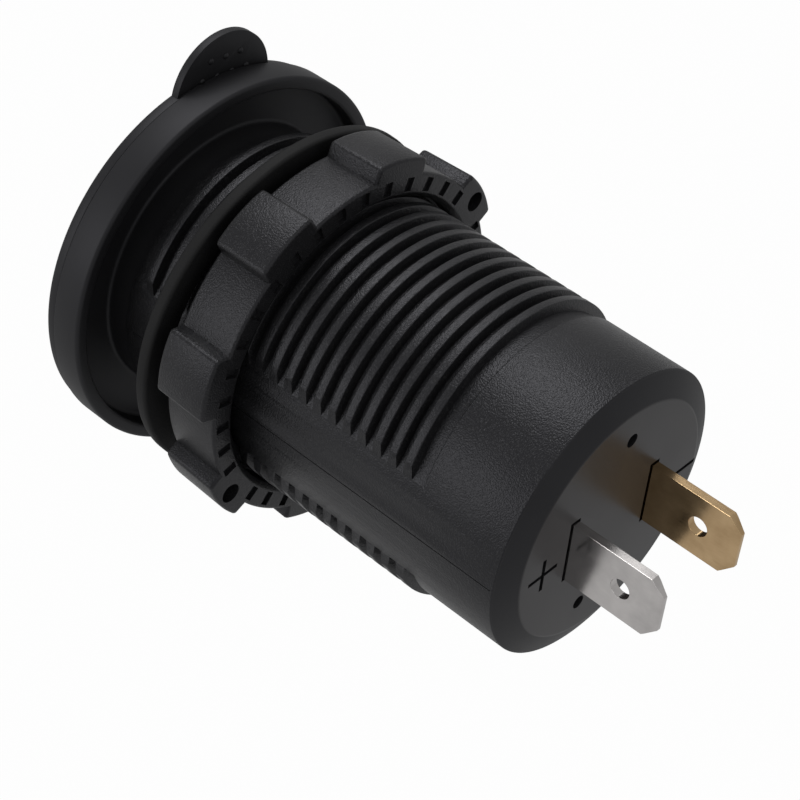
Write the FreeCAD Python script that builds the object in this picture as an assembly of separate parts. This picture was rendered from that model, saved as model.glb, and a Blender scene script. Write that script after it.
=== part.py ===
import FreeCAD
import Part
import math
import os
from FreeCAD import Vector

# Panel-mount car USB socket, in millimetres.
# Y is the axis of the socket: the capped front looks along -Y and the terminals point along +Y.
# The origin is on the axis, in the plane of the flange rim that seats on the panel. +Z is up.

# Threaded barrel
thread_crest_radius = 14.25
thread_depth = 0.9
thread_pitch = 1.7
ridge_root_width = 1.15
ridge_crest_width = 0.75
thread_start = 0.7
thread_end = 35.2
strip_drop = 0.55
strip_depth = 1.5
strip_slope_angle = 36.4
strip_slope_drop = 0.11
strip_half_height = 7.0
ridge_overlap = 0.25
rear_drop = 0.55
rear_face = 45.0
rear_chamfer_length = 1.0
rear_chamfer_width = 2.35
rear_wall = 2.2

# Flange at the front of the barrel
flange_overhang = 4.45
flange_front = -3.1
flange_front_wall = 1.1
skirt_wall = 1.3
rim_round = 0.35

# Bores of the barrel
mouth_wall = 1.35
shoulder_y = 1.5
barrel_wall = 1.95
board_groove_depth = 0.35
vent_radius = 0.65
vent_inset = 3.0
vent_angles = (96.0, -72.0)

# Dust cap, its pull tab and its hinge
cap_edge_inset = 0.24
cap_thickness = 1.15
cap_seam = 0.12
cap_edge_round = 0.4
cap_rim_width = 3.96
cap_dish_depth = 0.3
collar_depth = 1.8
collar_wall = 1.15
collar_clearance = 0.25
tab_overhang = 3.7
tab_width = 11.0
tab_thickness = 0.75
tab_angle = 95.0
hinge_radius = 1.25
hinge_pin_radius = 0.6
hinge_gap = 0.25
knuckle_half_width = 2.4
ear_width = 1.9
ear_gap = 0.2
pin_fit = 0.03
pin_running_fit = 0.08

# Sealing washer
washer_inset = 1.2
washer_bore_clearance = 0.4
washer_front = 6.2
washer_thickness = 1.3

# Mounting nut
nut_front = 9.6
nut_length = 6.0
nut_inset = 0.4
lobe_foot_share = 0.6
nut_draft = 0.2
nut_bore_clearance = 0.35
nut_thread_depth = 0.65
nut_ridge_root_width = 0.8
nut_ridge_tip_width = 0.4
nut_bore_chamfer = 0.5
lobe_count = 8
lobe_first_angle = 15.0
lobe_base_half_width = 3.5
lobe_top_half_width = 3.05
lug_angles = (150.0, 330.0)
lug_hole_share = 0.26
lug_hole_wall = 0.25
lug_hole_depth = 3.0
serration_count = 36
serration_start_share = 0.3
serration_end_wall = 0.2
serration_width = 0.9
serration_depth = 0.5

# Blade terminals
blade_width = 6.3
blade_thickness = 0.8
blade_reach = 9.4
blade_spacing = 10.2
blade_centre_z = 0.0
blade_tip_chamfer = 1.3
blade_tip_bevel = 0.2
blade_bevel_length = 1.0
blade_hole_radius = 0.95
blade_hole_from_tip = 4.0
blade_slot_clearance = 0.2
shoulder_width = 8.4
shoulder_length = 1.2
tail_width = 3.6
tail_length = 4.0

# Front face and the two USB sockets
face_thickness = 2.0
face_fit = 0.1
aperture_clearance = 0.15
aperture_bevel = 0.35
usb_inner_width = 12.5
usb_inner_height = 5.12
usb_sheet = 0.3
usb_length = 14.0
usb_front_set_back = 0.2
tongue_width = 11.1
tongue_thickness = 1.84
tongue_set_back = 1.1
tongue_offset = 1.12
insulator_block_length = 3.6
insulator_fit = 0.05
contact_width = 1.0
contact_thickness = 0.25
contact_pitch = 2.4
contact_count = 4
contact_set_back = 0.7
contact_leg = 0.4

# Indicator light
pipe_radius = 1.0
pipe_inset = 3.0
pipe_lift = 0.3
pipe_fit = 0.1
led_gap = 0.2
led_width = 2.0
led_depth = 1.2
led_height = 2.4

# Charger board and the components on it
board_thickness = 1.2
board_front = 3.0
board_rear_gap = 2.6
board_fit = 0.15
board_slot_fit = 0.1
inductor_side = 7.2
inductor_height = 4.2
inductor_inset = 6.2
inductor_y = 20.5
can_radius = 3.15
can_base_height = 0.8
input_can_height = 7.4
input_can_place = (0.0, 32.0)
output_can_height = 6.2
output_can_place = (0.0, 20.0)
chip_length = 4.9
chip_width = 3.9
chip_height = 1.5
chip_lead_length = 1.0
chip_lead_width = 0.42
chip_lead_thickness = 0.2
chip_lead_pitch = 1.27
chip_lead_count = 4
converter_inset = 6.9
converter_y = 19.2
port_control_place = (0.0, 28.2)
diode_length = 4.4
diode_width = 2.7
diode_height = 2.2
diode_inset = 6.4
diode_y = 25.2
fuse_length = 4.6
fuse_width = 3.2
fuse_height = 1.2
fuse_inset = 5.8
fuse_y = 27.4
small_chip_length = 2.0
small_chip_width = 1.25
small_chip_height = 0.8
small_chip_pitch = 2.6
small_chip_count = 5
small_chip_row_start = 18.0
small_chip_inset = 2.9

# Sizes that follow from the ones above
thread_root_radius = thread_crest_radius - thread_depth
strip_radius = thread_crest_radius - strip_drop
strip_half_width = thread_crest_radius - strip_depth
strip_slope_radius = thread_root_radius - strip_slope_drop
rear_radius = thread_crest_radius - rear_drop
flange_radius = thread_crest_radius + flange_overhang
mouth_radius = thread_root_radius - mouth_wall
cavity_radius = thread_root_radius - barrel_wall
vent_ring_radius = cavity_radius - vent_inset
half_turn_rise = thread_pitch / 2
half_turn_count = int((thread_end - thread_start - ridge_root_width) / half_turn_rise)
rear_wall_inner = rear_face - rear_wall
cap_rear = flange_front - cap_seam
cap_front = cap_rear - cap_thickness
cap_radius = flange_radius - cap_edge_inset
cap_dish_radius = cap_radius - cap_rim_width
tab_reach = flange_radius + tab_overhang
washer_radius = flange_radius - washer_inset
hinge_y = flange_front + hinge_radius
hinge_z = -(flange_radius + hinge_gap + hinge_radius)
nut_rear = nut_front + nut_length
nut_bore_radius = thread_crest_radius + nut_bore_clearance
nut_thread_inner_radius = nut_bore_radius - nut_thread_depth
nut_high_radius = flange_radius - nut_inset
nut_wall = nut_high_radius - nut_bore_radius
nut_low_radius = nut_bore_radius + lobe_foot_share * nut_wall
lug_hole_radius = lug_hole_share * nut_wall
lug_hole_ring_radius = nut_high_radius - lug_hole_wall - lug_hole_radius
serration_inner_radius = nut_bore_radius + serration_start_share * (nut_low_radius - nut_bore_radius)
serration_outer_radius = nut_low_radius - serration_end_wall
board_top = board_thickness / 2
board_rear = rear_wall_inner - board_rear_gap
board_half_width = cavity_radius + board_groove_depth - board_fit
inductor_place = (inductor_inset - board_half_width, inductor_y)
converter_place = (board_half_width - converter_inset, converter_y)
diode_place = (board_half_width - diode_inset, diode_y)
fuse_place = (fuse_inset - board_half_width, fuse_y)
small_chip_row_x = board_half_width - small_chip_inset
face_front = shoulder_y - face_thickness
usb_width = usb_inner_width + 2 * usb_sheet
usb_height = usb_inner_height + 2 * usb_sheet
usb_centre_z = board_top + usb_height / 2
usb_front = face_front + usb_front_set_back
usb_rear = usb_front + usb_length
pipe_x = mouth_radius - pipe_inset
pipe_z = board_top + pipe_lift + pipe_radius
led_front = board_front + 2 * led_depth
blade_x = blade_spacing / 2
blade_tip = rear_face + blade_reach
tail_front = rear_wall_inner - shoulder_length - tail_length

ORIGIN = Vector(0, 0, 0)
AXIS = Vector(0, 1, 0)
ACROSS = Vector(1, 0, 0)
UPWARD = Vector(0, 0, 1)


def turned(points):
    """Solid of revolution about the socket axis from a closed outline of (radius, y) points."""
    corners = [Vector(radius, y, 0) for radius, y in points]
    outline = Part.makePolygon(corners + corners[:1])
    return Part.Face(outline).revolve(ORIGIN, AXIS, 360)


def ring(inner, outer, front, rear):
    return turned([(inner, front), (outer, front), (outer, rear), (inner, rear)])


def disc(radius, front, rear):
    return Part.makeCylinder(radius, rear - front, Vector(0, front, 0), AXIS)


def block(x, y, z):
    """Box between two values on each axis."""
    corner = Vector(x[0], y[0], z[0])
    return Part.makeBox(x[1] - x[0], y[1] - y[0], z[1] - z[0], corner)


def about(centre, size):
    """The two values that lie half a size each side of a centre."""
    return (centre - size / 2, centre + size / 2)


def about_axis(shape, angle):
    """Copy turned about the socket axis, from +X towards +Z."""
    copy = shape.copy()
    copy.rotate(ORIGIN, AXIS, -angle)
    return copy


def flat_plate(points, thickness, x):
    """Plate cut to a closed outline of (y, z) points, its thickness centred on x."""
    corners = [Vector(x - thickness / 2, y, z) for y, z in points]
    outline = Part.makePolygon(corners + corners[:1])
    return Part.Face(outline).extrude(Vector(thickness, 0, 0))


def circles_at(shape, radius, y):
    """The round edges of a shape with one radius, in one plane across the axis."""
    found = []
    for edge in shape.Edges:
        curve = edge.Curve
        if not isinstance(curve, Part.Circle):
            continue
        same_plane = abs(curve.Center.y - y) < 0.01
        if same_plane and abs(curve.Radius - radius) < 0.01:
            found.append(edge)
    return found


def helical_ridge(foot_radius, tip_radius, foot_width, tip_width, turns):
    """Right-hand ridge that starts at +X with its middle at y = 0 and climbs one pitch a turn."""
    spine = Part.makeHelix(thread_pitch, thread_pitch * turns, foot_radius)
    corners = [
        Vector(foot_radius, 0, -foot_width / 2),
        Vector(tip_radius, 0, -tip_width / 2),
        Vector(tip_radius, 0, tip_width / 2),
        Vector(foot_radius, 0, foot_width / 2),
    ]
    section = Part.makePolygon(corners + corners[:1])
    ridge = Part.Wire(spine.Edges).makePipeShell([section], True, True)
    ridge.rotate(ORIGIN, ACROSS, -90)
    return ridge


def barrel_ridges():
    """Half turns of one helix, cut off along the two moulding strips at +X and -X."""
    slope = (ridge_root_width - ridge_crest_width) / thread_depth
    foot_width = ridge_root_width + slope * ridge_overlap
    foot_radius = thread_root_radius - ridge_overlap
    half_turn = helical_ridge(foot_radius, thread_crest_radius, foot_width, ridge_crest_width, 0.5)
    reach = thread_crest_radius + thread_pitch
    between_strips = block(about(0, 2 * strip_half_width), (-reach, reach), (-reach, reach))
    half_turn = half_turn.common(between_strips)
    first = thread_start + ridge_root_width / 2
    ridges = []
    for number in range(half_turn_count):
        ridge = half_turn.copy()
        ridge.rotate(ORIGIN, AXIS, 180 * number)
        ridge.translate(Vector(0, first + number * half_turn_rise, 0))
        ridges.append(ridge)
    return ridges


def barrel_strips():
    """The two plain strips beside the parting line, level with the rear and sloped down into the grooves."""
    core = ring(thread_root_radius - ridge_overlap, strip_radius, thread_start, thread_end)
    slope = math.radians(strip_slope_angle)
    crown = strip_slope_radius / math.cos(slope)
    foot = (strip_slope_radius - strip_half_height * math.sin(slope)) / math.cos(slope)
    corners = [
        Vector(0, thread_start, -strip_half_height),
        Vector(foot, thread_start, -strip_half_height),
        Vector(crown, thread_start, 0),
        Vector(foot, thread_start, strip_half_height),
        Vector(0, thread_start, strip_half_height),
    ]
    outline = Part.makePolygon(corners + corners[:1])
    right = core.common(Part.Face(outline).extrude(Vector(0, thread_end - thread_start, 0)))
    return [right, about_axis(right, 180)]


def hinge_ears():
    ears = []
    for side in (-1, 1):
        inner = side * (knuckle_half_width + ear_gap)
        outer = side * (knuckle_half_width + ear_gap + ear_width)
        x = (min(inner, outer), max(inner, outer))
        cheek = Part.makeCylinder(hinge_radius, ear_width, Vector(x[0], hinge_y, hinge_z), ACROSS)
        foot_top = -(flange_radius - skirt_wall)
        foot = block(x, (flange_front, flange_front + 2 * hinge_radius), (hinge_z, foot_top))
        ears.append(cheek.fuse(foot))
    return ears


def hinge_bore(clearance, half_width):
    start = Vector(-half_width, hinge_y, hinge_z)
    return Part.makeCylinder(hinge_pin_radius + clearance, 2 * half_width, start, ACROSS)


def ear_outer_face():
    return knuckle_half_width + ear_gap + ear_width


def blade_slot(x):
    width = blade_thickness + 2 * blade_slot_clearance
    height = blade_width + 2 * blade_slot_clearance
    return block(about(x, width), (rear_wall_inner - 1, rear_face + 1), about(blade_centre_z, height))


def vent_hole(angle):
    centre = Vector(vent_ring_radius, rear_wall_inner - 1, 0)
    hole = Part.makeCylinder(vent_radius, rear_wall + 2, centre, AXIS)
    return about_axis(hole, angle)


def socket_barrel():
    """One moulding: hollow flange, threaded barrel with two plain strips, closed slotted rear."""
    web_rear = flange_front + flange_front_wall
    skirt_inner = flange_radius - skirt_wall
    body = turned([
        (mouth_radius, flange_front),
        (flange_radius, flange_front),
        (flange_radius, 0),
        (skirt_inner, 0),
        (skirt_inner, web_rear),
        (thread_root_radius, web_rear),
        (thread_root_radius, thread_end),
        (rear_radius, thread_end),
        (rear_radius, rear_face - rear_chamfer_length),
        (rear_radius - rear_chamfer_width, rear_face),
        (0, rear_face),
        (0, rear_wall_inner),
        (cavity_radius, rear_wall_inner),
        (cavity_radius, shoulder_y),
        (mouth_radius, shoulder_y),
    ])
    rims = circles_at(body, flange_radius, 0) + circles_at(body, skirt_inner, 0)
    body = body.makeFillet(rim_round, rims)
    body = body.multiFuse(hinge_ears() + barrel_strips() + barrel_ridges())
    groove_half_width = cavity_radius + board_groove_depth
    groove_height = board_thickness + 2 * board_fit
    board_groove = block(
        (-groove_half_width, groove_half_width),
        (shoulder_y, board_rear + board_fit),
        about(0, groove_height),
    )
    openings = [board_groove, hinge_bore(pin_fit, 2 * ear_outer_face())]
    openings += [blade_slot(blade_x), blade_slot(-blade_x)]
    openings += [vent_hole(angle) for angle in vent_angles]
    return body.cut(openings)


def pull_tab():
    """Thin round-ended tongue in the plane of the cap."""
    front = about((cap_front + cap_rear) / 2, tab_thickness)[0]
    half_width = tab_width / 2
    end_centre = tab_reach - half_width
    end = Part.makeCylinder(half_width, tab_thickness, Vector(end_centre, front, 0), AXIS)
    root = block((cap_dish_radius, end_centre), (front, front + tab_thickness), about(0, tab_width))
    return about_axis(end.fuse(root), tab_angle)


def cap_knuckle():
    """Arm that carries the cap down to its hinge pin."""
    knuckle_radius = hinge_radius - hinge_gap / 2
    width = 2 * knuckle_half_width
    barrel = Part.makeCylinder(knuckle_radius, width, Vector(-knuckle_half_width, hinge_y, hinge_z), ACROSS)
    inner_edge = -(cap_radius - cap_thickness)
    lower_edge = hinge_z - knuckle_radius
    arm = block(about(0, width), (cap_front + cap_edge_round, cap_rear), (lower_edge, inner_edge))
    link = block(about(0, width), (cap_rear - cap_thickness / 2, hinge_y), (lower_edge, hinge_z))
    return barrel.multiFuse([arm, link])


def dust_cap():
    """Soft lid: dished disc, sealing collar that plugs the mouth, pull tab and hinge arm."""
    lid = turned([
        (0, cap_front + cap_dish_depth),
        (cap_dish_radius, cap_front + cap_dish_depth),
        (cap_dish_radius + 2 * cap_dish_depth, cap_front),
        (cap_radius, cap_front),
        (cap_radius, cap_rear),
        (0, cap_rear),
    ])
    lid = lid.makeFillet(cap_edge_round, circles_at(lid, cap_radius, cap_front))
    collar_outer = mouth_radius - collar_clearance
    collar_inner = collar_outer - collar_wall
    collar = ring(collar_inner, collar_outer, cap_rear - cap_dish_depth, cap_rear + collar_depth)
    lid = lid.multiFuse([collar, pull_tab(), cap_knuckle()])
    return lid.cut(hinge_bore(pin_running_fit, 2 * knuckle_half_width))


def cap_hinge_pin():
    half_length = ear_outer_face()
    start = Vector(-half_length, hinge_y, hinge_z)
    return Part.makeCylinder(hinge_pin_radius, 2 * half_length, start, ACROSS)


def sealing_washer():
    inner = thread_crest_radius + washer_bore_clearance
    return ring(inner, washer_radius, washer_front, washer_front + washer_thickness)


def nut_lobe():
    """One raised grip block at +X, with drafted sides."""
    top = nut_high_radius + nut_draft + lobe_top_half_width
    inner = nut_low_radius - nut_draft
    slope = (lobe_base_half_width - lobe_top_half_width) / (nut_high_radius - nut_low_radius)
    far_half_width = lobe_top_half_width - slope * (top - nut_high_radius)
    corners = [
        Vector(inner, nut_front, -lobe_base_half_width),
        Vector(top, nut_front, -far_half_width),
        Vector(top, nut_front, far_half_width),
        Vector(inner, nut_front, lobe_base_half_width),
    ]
    wedge = Part.Face(Part.makePolygon(corners + corners[:1])).extrude(Vector(0, nut_length, 0))
    grip = turned([
        (nut_bore_radius + 1, nut_front),
        (nut_high_radius, nut_front),
        (nut_high_radius + nut_draft, nut_rear),
        (nut_bore_radius + 1, nut_rear),
    ])
    return wedge.common(grip)


def nut_thread():
    """Ridge inside the nut, half a pitch away from the ridges of the barrel."""
    slope = (nut_ridge_root_width - nut_ridge_tip_width) / (nut_bore_radius - nut_thread_inner_radius)
    foot_radius = nut_bore_radius + ridge_overlap
    foot_width = nut_ridge_root_width + slope * ridge_overlap
    first_barrel_ridge = thread_start + ridge_root_width / 2
    clear_front = nut_front + nut_bore_chamfer + foot_width
    pitches = math.ceil((clear_front - first_barrel_ridge) / thread_pitch - 0.5)
    start = first_barrel_ridge + (pitches + 0.5) * thread_pitch
    room = nut_rear - nut_bore_chamfer - foot_width - start
    ridge = helical_ridge(
        foot_radius, nut_thread_inner_radius, foot_width, nut_ridge_tip_width, room / thread_pitch
    )
    ridge.translate(Vector(0, start, 0))
    return ridge


def mounting_nut():
    """Moulded ring nut: eight grip lobes, two of them lugs with a hole, serrated rear face."""
    body = turned([
        (nut_bore_radius + nut_bore_chamfer, nut_front),
        (nut_low_radius, nut_front),
        (nut_low_radius + nut_draft, nut_rear),
        (nut_bore_radius + nut_bore_chamfer, nut_rear),
        (nut_bore_radius, nut_rear - nut_bore_chamfer),
        (nut_bore_radius, nut_front + nut_bore_chamfer),
    ])
    lobe = nut_lobe()
    step = 360 / lobe_count
    lobes = [about_axis(lobe, lobe_first_angle + number * step) for number in range(lobe_count)]
    body = body.multiFuse(lobes + [nut_thread()])
    serration = block(
        (serration_inner_radius, serration_outer_radius),
        (nut_rear - serration_depth, nut_rear + 1),
        about(0, serration_width),
    )
    step = 360 / serration_count
    cuts = [about_axis(serration, number * step) for number in range(serration_count)]
    for angle in lug_angles:
        mouth = Vector(lug_hole_ring_radius, nut_rear - lug_hole_depth, 0)
        hole = Part.makeCylinder(lug_hole_radius, lug_hole_depth + 1, mouth, AXIS)
        cuts.append(about_axis(hole, angle))
    return body.cut(cuts)


def blade_terminal(x):
    """Flat blade: tail in the board, shoulder behind the rear wall, pierced and bevelled tip."""
    low = blade_centre_z - blade_width / 2
    high = blade_centre_z + blade_width / 2
    shoulder_low = blade_centre_z - shoulder_width / 2
    shoulder_high = blade_centre_z + shoulder_width / 2
    shoulder_front = rear_wall_inner - shoulder_length
    half_tail = tail_width / 2
    chamfer = blade_tip_chamfer
    blade = flat_plate([
        (tail_front, -half_tail),
        (shoulder_front, -half_tail),
        (shoulder_front, shoulder_low),
        (rear_wall_inner, shoulder_low),
        (rear_wall_inner, low),
        (blade_tip - chamfer, low),
        (blade_tip, low + chamfer),
        (blade_tip, high - chamfer),
        (blade_tip - chamfer, high),
        (rear_wall_inner, high),
        (rear_wall_inner, shoulder_high),
        (shoulder_front, shoulder_high),
        (shoulder_front, half_tail),
        (tail_front, half_tail),
    ], blade_thickness, x)
    half = blade_thickness / 2
    cuts = []
    for side in (-1, 1):
        corners = [
            Vector(x + side * half, blade_tip - blade_bevel_length, low - 1),
            Vector(x + side * (half - blade_tip_bevel), blade_tip, low - 1),
            Vector(x + side * half, blade_tip, low - 1),
        ]
        wedge = Part.Face(Part.makePolygon(corners + corners[:1]))
        cuts.append(wedge.extrude(Vector(0, 0, blade_width + 2)))
    centre = Vector(x - blade_thickness, blade_tip - blade_hole_from_tip, blade_centre_z)
    cuts.append(Part.makeCylinder(blade_hole_radius, 2 * blade_thickness, centre, ACROSS))
    return blade.cut(cuts)


def face_panel():
    """Round front insert with two USB apertures and the hole of the indicator."""
    panel = disc(mouth_radius - face_fit, face_front, shoulder_y)
    cuts = []
    width = usb_width + 2 * aperture_clearance
    height = usb_height + 2 * aperture_clearance
    for side in (-1, 1):
        z = about(side * usb_centre_z, height)
        cuts.append(block(about(0, width), (face_front - 1, shoulder_y + 1), z))
    hole = Part.makeCylinder(
        pipe_radius + pipe_fit, face_thickness + 2, Vector(pipe_x, face_front - 1, pipe_z), AXIS
    )
    panel = panel.cut(cuts + [hole])
    rim = circles_at(panel, mouth_radius - face_fit, face_front)
    return panel.makeChamfer(aperture_bevel, rim)


def upper_usb_shell():
    """Folded sheet sleeve that stands on the board."""
    outside = block(about(0, usb_width), (usb_front, usb_rear), about(usb_centre_z, usb_height))
    inside = block(
        about(0, usb_inner_width), (usb_front - 1, usb_rear + 1), about(usb_centre_z, usb_inner_height)
    )
    return outside.cut(inside)


def upper_usb_contacts():
    """Four flat springs under the tongue, each with a leg down to the board."""
    tongue_low = usb_centre_z + tongue_offset - tongue_thickness / 2
    spring_front = usb_front + tongue_set_back + contact_set_back
    leg_rear = usb_rear + insulator_fit + contact_leg
    contacts = []
    for number in range(contact_count):
        x = about((number - (contact_count - 1) / 2) * contact_pitch, contact_width)
        spring = block(x, (spring_front, leg_rear), (tongue_low - contact_thickness, tongue_low))
        leg = block(x, (leg_rear - contact_leg, leg_rear), (board_top, tongue_low))
        contacts.append(spring.fuse(leg).removeSplitter())
    return Part.makeCompound(contacts)


def upper_usb_insulator():
    """Tongue and the block behind it, moulded in one around the contacts."""
    width = usb_inner_width - 2 * insulator_fit
    height = usb_inner_height - 2 * insulator_fit
    tongue_centre = usb_centre_z + tongue_offset
    block_front = usb_rear - insulator_block_length
    back = block(about(0, width), (block_front, usb_rear), about(usb_centre_z, height))
    tongue = block(
        about(0, tongue_width),
        (usb_front + tongue_set_back, usb_rear),
        about(tongue_centre, tongue_thickness),
    )
    return back.fuse(tongue).removeSplitter().cut(upper_usb_contacts())


def below_board(shape):
    """The same piece on the underside of the board."""
    return shape.mirror(ORIGIN, UPWARD)


def light_pipe():
    start = Vector(pipe_x, face_front, pipe_z)
    return Part.makeCylinder(pipe_radius, led_front - led_gap - face_front, start, AXIS)


def indicator_led():
    depth = (led_front, led_front + led_depth)
    return block(about(pipe_x, led_width), depth, (board_top, board_top + led_height))


def charger_board():
    """Board that slides into the two grooves of the barrel, slotted for the terminal tails."""
    width = 2 * board_half_width
    board = block(about(0, width), (board_front, board_rear), about(0, board_thickness))
    slot_width = blade_thickness + 2 * board_slot_fit
    slot_y = (tail_front - board_slot_fit, board_rear + 1)
    slot_z = about(0, 2 * board_thickness)
    slots = [block(about(side * blade_x, slot_width), slot_y, slot_z) for side in (-1, 1)]
    return board.cut(slots)


def on_board(place, length, width, height):
    """Box that stands on the upper face of the board, its middle at (x, y)."""
    return block(about(place[0], width), about(place[1], length), (board_top, board_top + height))


def power_inductor():
    body = on_board(inductor_place, inductor_side, inductor_side, inductor_height)
    upright = [edge for edge in body.Edges if abs(edge.tangentAt(edge.FirstParameter).z) > 0.99]
    return body.makeChamfer(inductor_side / 8, upright)


def capacitor_can(place, height):
    """Aluminium can on its square plastic base, as one sealed component."""
    base = on_board(place, 2 * can_radius, 2 * can_radius, can_base_height)
    foot = Vector(place[0], place[1], board_top)
    can = Part.makeCylinder(can_radius, height, foot, UPWARD)
    return base.fuse(can)


def small_outline_chip(place):
    """Moulded package with a row of flat leads along each side."""
    body = on_board(place, chip_length, chip_width, chip_height)
    leads = []
    row = (chip_lead_count - 1) / 2
    for number in range(chip_lead_count):
        y = place[1] + (number - row) * chip_lead_pitch
        span = chip_width + 2 * chip_lead_length
        leads.append(on_board((place[0], y), chip_lead_width, span, chip_lead_thickness))
    return body.multiFuse(leads).removeSplitter()


def chip_row(side):
    """Row of identical small chip components along one edge of the board."""
    chips = []
    for number in range(small_chip_count):
        y = small_chip_row_start + number * small_chip_pitch
        place = (side * small_chip_row_x, y)
        chips.append(on_board(place, small_chip_width, small_chip_length, small_chip_height))
    return Part.makeCompound(chips)


nodes = {
    "socket_barrel": socket_barrel(),
    "dust_cap": dust_cap(),
    "cap_hinge_pin": cap_hinge_pin(),
    "sealing_washer": sealing_washer(),
    "mounting_nut": mounting_nut(),
    "positive_terminal": blade_terminal(blade_x),
    "negative_terminal": blade_terminal(-blade_x),
    "face_panel": face_panel(),
    "usb_shell_upper": upper_usb_shell(),
    "usb_shell_lower": below_board(upper_usb_shell()),
    "usb_insulator_upper": upper_usb_insulator(),
    "usb_insulator_lower": below_board(upper_usb_insulator()),
    "usb_contacts_upper": upper_usb_contacts(),
    "usb_contacts_lower": below_board(upper_usb_contacts()),
    "light_pipe": light_pipe(),
    "indicator_led": indicator_led(),
    "charger_board": charger_board(),
    "power_inductor": power_inductor(),
    "input_capacitor": capacitor_can(input_can_place, input_can_height),
    "output_capacitor": below_board(capacitor_can(output_can_place, output_can_height)),
    "converter_chip": small_outline_chip(converter_place),
    "port_control_chip": below_board(small_outline_chip(port_control_place)),
    "rectifier_diode": on_board(diode_place, diode_length, diode_width, diode_height),
    "input_fuse": on_board(fuse_place, fuse_length, fuse_width, fuse_height),
    "chip_capacitors": chip_row(1),
    "chip_resistors": below_board(chip_row(-1)),
}

os.makedirs("parts", exist_ok=True)
for name, shape in nodes.items():
    shape.exportStep("parts/" + name + ".step")
    print(name, "solids", len(shape.Solids), "volume", round(shape.Volume, 2), "valid", shape.isValid())
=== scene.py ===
# %% [markdown]
# # A panel-mount car USB socket
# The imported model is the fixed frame: it already holds every solid at its real size and place. This lesson
# dresses it. The pieces that the eye meets first (barrel, cap, washer, nut, blades) are modelled again with
# Blender's own tools, finer and with soft edges. The pieces inside keep their solids and get finishes.

# %% Load the frame
import math

import bmesh
import bpy
from mathutils import Matrix, Vector


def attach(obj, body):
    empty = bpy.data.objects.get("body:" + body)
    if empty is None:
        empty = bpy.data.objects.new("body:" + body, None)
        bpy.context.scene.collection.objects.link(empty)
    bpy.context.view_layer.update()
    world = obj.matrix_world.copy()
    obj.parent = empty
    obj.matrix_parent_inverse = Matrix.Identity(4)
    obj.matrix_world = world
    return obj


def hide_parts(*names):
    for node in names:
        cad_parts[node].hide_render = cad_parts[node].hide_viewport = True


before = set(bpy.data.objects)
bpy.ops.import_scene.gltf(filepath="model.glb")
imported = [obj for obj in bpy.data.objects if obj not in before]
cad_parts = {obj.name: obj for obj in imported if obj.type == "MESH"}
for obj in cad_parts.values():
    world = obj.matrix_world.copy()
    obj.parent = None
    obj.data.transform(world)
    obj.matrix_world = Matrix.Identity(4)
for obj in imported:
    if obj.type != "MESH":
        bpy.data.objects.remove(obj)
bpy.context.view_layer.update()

MM = 0.001

# %% [markdown]
# ## Helpers for modelling by hand
# In Blender's window a modeller selects, extrudes and moves. The same operators work from a script, but they
# act on everything that is selected, and loading the frame leaves its nodes selected. So each step first
# deselects, and then picks its vertices, edges or faces by their place. Sizes are in millimetres, as on a
# drawing.

# %% Selecting and placing
MERGE_REACH = 0.002
PICK_REACH = 0.01


def place(x, y, z):
    return (x * MM, y * MM, z * MM)


def deselect_all():
    if bpy.context.mode != "OBJECT":
        bpy.ops.object.mode_set(mode="OBJECT")
    bpy.ops.object.select_all(action="DESELECT")


def take(*pieces):
    """Select some pieces; the first one is active."""
    deselect_all()
    for piece in pieces:
        piece.select_set(True)
    bpy.context.view_layer.objects.active = pieces[0]


def edit(piece):
    take(piece)
    bpy.ops.object.mode_set(mode="EDIT")
    bpy.ops.mesh.select_all(action="SELECT")


def leave_edit():
    bpy.ops.object.mode_set(mode="OBJECT")
    return bpy.context.object


def pick(kind, test):
    """In edit mode, select the vertices, edges or faces whose middle, in millimetres, passes a test."""
    bpy.ops.mesh.select_mode(type=kind)
    bpy.ops.mesh.select_all(action="DESELECT")
    mesh = bmesh.from_edit_mesh(bpy.context.object.data)
    for part in {"VERT": mesh.verts, "EDGE": mesh.edges, "FACE": mesh.faces}[kind]:
        corners = [part.co] if kind == "VERT" else [corner.co for corner in part.verts]
        if test(sum(corners, Vector()) / len(corners) / MM):
            part.select_set(True)
    bmesh.update_edit_mesh(bpy.context.object.data)


def near(value, goal):
    return abs(value - goal) < PICK_REACH


def across(middle, half):
    return (middle - half, middle + half)


# %% [markdown]
# ## Closing and cutting
# A spin or a sweep leaves doubled points, and its faces may point inwards, so a finished mesh is merged and
# its normals are made to agree. Open ends are filled. A bisect cuts a mesh along a plane, and may throw one
# side away and close the cut.

# %% Closing and cutting
CUT_TOLERANCE = 1e-8


def close_up(merge=MERGE_REACH):
    """In edit mode, merge doubles and point every face outwards."""
    bpy.ops.mesh.select_mode(type="VERT")
    bpy.ops.mesh.select_all(action="SELECT")
    bpy.ops.mesh.remove_doubles(threshold=merge * MM)
    bpy.ops.mesh.normals_make_consistent(inside=False)


def close_ends():
    """In edit mode, fill the open ends of a swept form."""
    bpy.ops.mesh.select_mode(type="EDGE")
    bpy.ops.mesh.select_all(action="DESELECT")
    bpy.ops.mesh.select_non_manifold()
    bpy.ops.mesh.fill_holes(sides=0)
    close_up()


def slice_at(spot, normal, drop=True):
    """In edit mode, cut everything along a plane, and drop the side that the normal points to."""
    bpy.ops.mesh.select_all(action="SELECT")
    bpy.ops.mesh.bisect(
        plane_co=place(*spot), plane_no=normal, use_fill=drop, clear_outer=drop, threshold=CUT_TOLERANCE
    )


# %% [markdown]
# ## Turned forms
# The mould for this socket was mostly cut on a lathe, so most pieces are turned forms. A turned form is drawn
# as a half section: one vertex is extruded from corner to corner, some corners are rounded by a vertex bevel,
# and Spin sweeps the line about the socket's axis, which is Y.

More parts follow.
